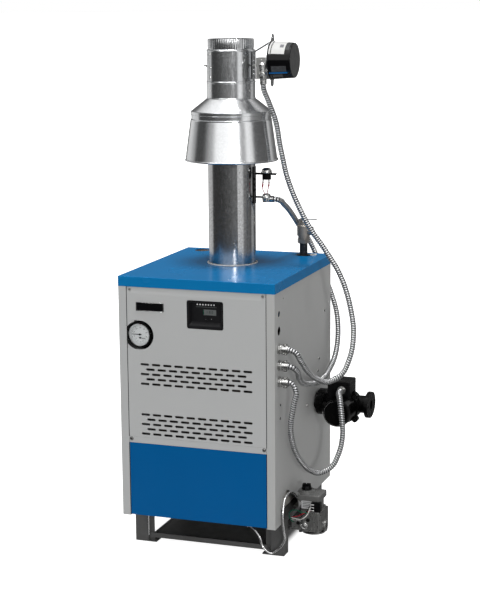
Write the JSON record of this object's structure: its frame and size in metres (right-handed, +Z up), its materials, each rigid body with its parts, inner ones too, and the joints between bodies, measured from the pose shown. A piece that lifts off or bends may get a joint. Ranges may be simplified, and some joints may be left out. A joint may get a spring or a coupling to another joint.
{
  "type": "gas-fired boiler with burner assembly",
  "caption": "Floor-standing atmospheric gas boiler: jacketed cast-iron sections over burner tubes, with draft hood, motorised vent damper, circulator, gas valve and relief valve.",
  "frame": {"origin": "on the floor, under the centre of the jacket footprint", "axes": "+Z up, -Y towards the front doors, +X towards the circulator and gas valve"},
  "size_m": [0.707, 0.6539, 1.64],
  "materials": {
    "base_paint": "satin",
    "galvanized_sheet": "bright spangled zinc",
    "aluminised_steel": "matt",
    "black_pipe": "matt",
    "brass": "machined",
    "bright_aluminium": "polished",
    "die_cast": "as cast",
    "black_plastic": "moulded",
    "black_steel": "oiled",
    "wire_insulation": "PVC",
    "ceramic_fibre": "fibrous",
    "cast_iron": "sand cast",
    "grey_enamel": "satin powder coat",
    "blue_enamel": "satin powder coat",
    "zinc_steel": "zinc plated",
    "black_gloss": "gloss",
    "display_glass": "liquid crystal display",
    "white_enamel": "printed dial",
    "clear_lens": "clear",
    "black_paint": "matt",
    "pump_paint": "black paint over casting",
    "die_cast_zinc": "die cast",
    "conduit_steel": "interlocked strip",
    "gear_plastic": "nylon",
    "bronze": "cast bronze, dull"
  },
  "bodies": {
    "boiler": {"base_frame": "base_paint", "burner_orifices": "brass", "burner_tray": "galvanized_sheet", "burner_tubes": "aluminised_steel", "cast_iron_sections": "cast_iron", "chamber_insulation": "ceramic_fibre", "conduit_connectors": "die_cast_zinc", "conduits": "conduit_steel", "control_bezel": "black_plastic", "control_display": "display_glass", "control_module": "black_plastic", "damper_junction_box": "galvanized_sheet", "damper_motor": "zinc_steel", "damper_motor_housing": "black_gloss", "damper_pipe": "galvanized_sheet", "draft_hood_baffle": "galvanized_sheet", "draft_hood_cone": "galvanized_sheet", "draft_hood_skirt": "galvanized_sheet", "flue_collector": "galvanized_sheet", "front_rail": "grey_enamel", "gas_manifold": "black_pipe", "gas_valve_body": "die_cast", "gas_valve_plugs": "black_steel", "gas_valve_terminal_block": "black_plastic", "gauge_case": "black_gloss", "gauge_dial": "white_enamel", "gauge_lens": "clear_lens", "jacket_left": "grey_enamel", "jacket_rear": "grey_enamel", "jacket_right": "grey_enamel", "jacket_screws": "zinc_steel", "jacket_top": "blue_enamel", "pilot_burner": "aluminised_steel", "pilot_tube": "bright_aluminium", "pipe_nipples": "black_pipe", "pump_bolts": "black_steel", "pump_motor_housing": "pump_paint", "pump_terminal_box": "black_plastic", "pump_volute": "pump_paint", "relief_valve_body": "bronze", "return_flange": "pump_paint", "spill_switch": "black_plastic", "vent_brackets": "galvanized_sheet", "vent_pipe": "galvanized_sheet", "wire_leads": "wire_insulation"},
    "upper_door": {"upper_door": "grey_enamel", "upper_door_screws": "zinc_steel", "badge_plate": "black_gloss"},
    "lower_door": {"lower_door": "blue_enamel"},
    "button_1": {"control_button_1": "black_plastic"},
    "button_2": {"control_button_2": "black_plastic"},
    "pressure_pointer": {"pressure_pointer": "black_paint"},
    "temperature_pointer": {"temperature_pointer": "black_paint"},
    "gas_knob": {"gas_valve_knob": "black_plastic"},
    "pump_rotor": {"pump_rotor": "black_steel"},
    "vent_damper": {"damper_blade": "galvanized_sheet", "damper_shaft": "zinc_steel", "damper_gear": "gear_plastic"},
    "damper_pinion": {"damper_pinion": "brass"},
    "relief_lever": {"relief_valve_lever": "zinc_steel"}
  },
  "joints": [
    {"name": "upper_door_lift_off", "type": "slide", "parent": "boiler", "child": "upper_door", "axis": [0, -1, 0], "range_m": [0, 0.15]},
    {"name": "lower_door_lift_off", "type": "slide", "parent": "boiler", "child": "lower_door", "axis": [0, -1, 0], "range_m": [0, 0.15]},
    {"name": "button_1_press", "type": "slide", "parent": "boiler", "child": "button_1", "axis": [0, 1, 0], "range_m": [0, 0.001]},
    {"name": "button_2_press", "type": "slide", "parent": "boiler", "child": "button_2", "axis": [0, 1, 0], "range_m": [0, 0.001]},
    {"name": "pressure_pointer_turn", "type": "hinge", "parent": "boiler", "child": "pressure_pointer", "pos_m": [-0.194, -0.29, 0.712], "axis": [0, 1, 0], "range_deg": [0, 180]},
    {"name": "temperature_pointer_turn", "type": "hinge", "parent": "boiler", "child": "temperature_pointer", "pos_m": [-0.194, -0.2888, 0.701], "axis": [0, 1, 0], "range_deg": [0, 160]},
    {"name": "gas_knob_turn", "type": "hinge", "parent": "boiler", "child": "gas_knob", "pos_m": [0.31, -0.14, 0.21], "axis": [0, 0, 1], "range_deg": [0, 90]},
    {"name": "pump_rotor_spin", "type": "hinge", "parent": "boiler", "child": "pump_rotor", "pos_m": [0.363, 0.1, 0.422], "axis": [0, 1, 0], "continuous": true},
    {"name": "vent_damper_turn", "type": "hinge", "parent": "boiler", "child": "vent_damper", "pos_m": [0, 0.041, 1.54], "axis": [1, 0, 0], "range_deg": [0, 90]},
    {"name": "damper_pinion_spin", "type": "hinge", "parent": "boiler", "child": "damper_pinion", "pos_m": [0.152, 0.041, 1.568], "axis": [1, 0, 0], "range_deg": [-270, 0]},
    {"name": "relief_lever_lift", "type": "hinge", "parent": "boiler", "child": "relief_lever", "pos_m": [0.1685, 0.2524, 1.019], "axis": [0, -1, 0], "range_deg": [0, 60]}
  ],
  "couplings": [
    {"joint": "damper_pinion_spin", "follows": "vent_damper_turn", "ratio": -3}
  ]
}
